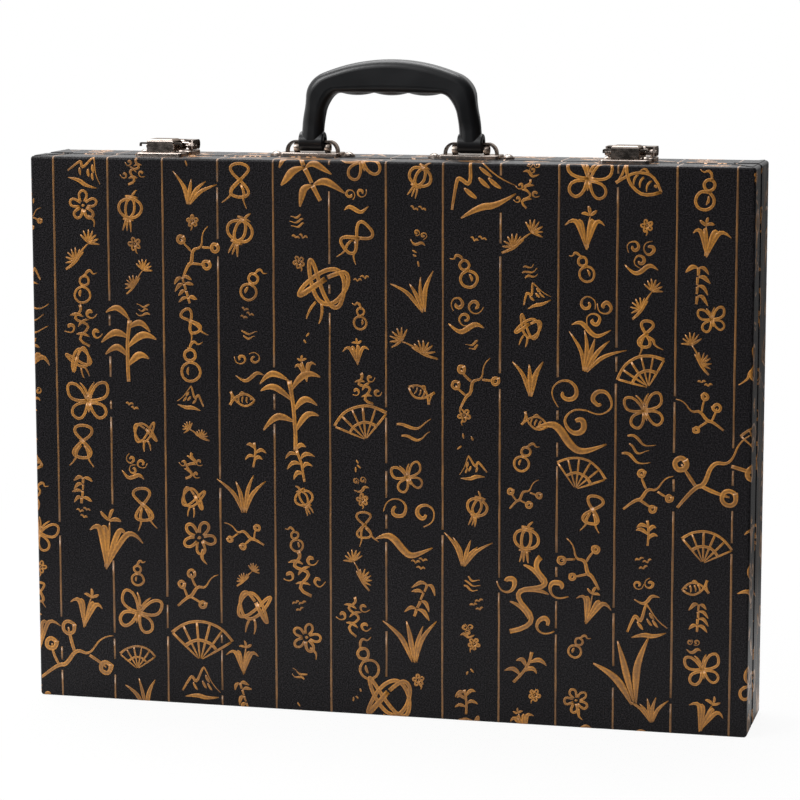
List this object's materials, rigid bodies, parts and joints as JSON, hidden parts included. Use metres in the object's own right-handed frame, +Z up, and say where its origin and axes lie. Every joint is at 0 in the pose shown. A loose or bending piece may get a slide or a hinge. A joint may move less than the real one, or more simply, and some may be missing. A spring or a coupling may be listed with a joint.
{
  "type": "game box",
  "caption": "Flat attache-style game case: two covered wooden shells hinged at the bottom, draw latches and a swinging carrying handle on top.",
  "frame": {"origin": "middle of the case's bottom side, on the surface that it stands on", "axes": "+X along the width to the right, +Y from the lid's face to the back, +Z up to the handle"},
  "size_m": [0.42, 0.06, 0.3757],
  "materials": {
    "leatherette": "fine grained, black with gold print",
    "fibreboard": "raw board",
    "velvet": "short pile",
    "nickel_steel": "nickel plated",
    "hinge_steel": "nickel plated, satin",
    "pin_steel": "drawn",
    "screw_steel": "nickel plated",
    "black_plastic": "satin gloss"
  },
  "bodies": {
    "base": {"base_panel": "fibreboard", "base_top_board": "fibreboard", "base_bottom_board": "fibreboard", "base_left_board": "fibreboard", "base_right_board": "fibreboard", "base_covering": "leatherette", "base_lining": "velvet", "lower_divider": "velvet", "upper_divider": "velvet", "left_bracket": "nickel_steel", "right_bracket": "nickel_steel", "bracket_screws": "screw_steel", "left_latch_plate": "nickel_steel", "right_latch_plate": "nickel_steel", "latch_plate_screws": "screw_steel", "left_hinge_base_leaf": "hinge_steel", "right_hinge_base_leaf": "hinge_steel", "left_hinge_pin": "pin_steel", "right_hinge_pin": "pin_steel", "base_hinge_screws": "screw_steel"},
    "lid": {"lid_panel": "fibreboard", "lid_top_board": "fibreboard", "lid_bottom_board": "fibreboard", "lid_left_board": "fibreboard", "lid_right_board": "fibreboard", "lid_covering": "leatherette", "lid_lining": "velvet", "left_strike": "nickel_steel", "right_strike": "nickel_steel", "strike_screws": "screw_steel", "left_hinge_lid_leaf": "hinge_steel", "right_hinge_lid_leaf": "hinge_steel", "lid_hinge_screws": "screw_steel"},
    "handle": {"handle": "black_plastic"},
    "left_lever": {"left_lever": "nickel_steel", "left_lever_rivets": "pin_steel", "left_claw_pin": "pin_steel"},
    "left_claw": {"left_claw": "nickel_steel"},
    "right_lever": {"right_lever": "nickel_steel", "right_lever_rivets": "pin_steel", "right_claw_pin": "pin_steel"},
    "right_claw": {"right_claw": "nickel_steel"}
  },
  "joints": [
    {"name": "lid_hinge", "type": "hinge", "parent": "base", "child": "lid", "pos_m": [0, -0.005, 0.0019], "axis": [1, 0, 0], "range_deg": [0, 110]},
    {"name": "handle_swing", "type": "hinge", "parent": "base", "child": "handle", "pos_m": [-0.0038, 0.0068, 0.3284], "axis": [1, 0, 0], "range_deg": [-85, 85]},
    {"name": "left_lever_lift", "type": "hinge", "parent": "base", "child": "left_lever", "pos_m": [-0.1354, 0.003, 0.3249], "axis": [1, 0, 0], "range_deg": [0, 95]},
    {"name": "left_claw_tilt", "type": "hinge", "parent": "left_lever", "child": "left_claw", "pos_m": [-0.1354, 0.00717, 0.32439], "axis": [1, 0, 0], "range_deg": [-110, 0]},
    {"name": "right_lever_lift", "type": "hinge", "parent": "base", "child": "right_lever", "pos_m": [0.1354, 0.003, 0.3249], "axis": [1, 0, 0], "range_deg": [0, 95]},
    {"name": "right_claw_tilt", "type": "hinge", "parent": "right_lever", "child": "right_claw", "pos_m": [0.1354, 0.00717, 0.32439], "axis": [1, 0, 0], "range_deg": [-110, 0]}
  ],
  "couplings": [
    {"joint": "left_claw_tilt", "follows": "left_lever_lift", "ratio": -1.15},
    {"joint": "right_claw_tilt", "follows": "right_lever_lift", "ratio": -1.15}
  ]
}
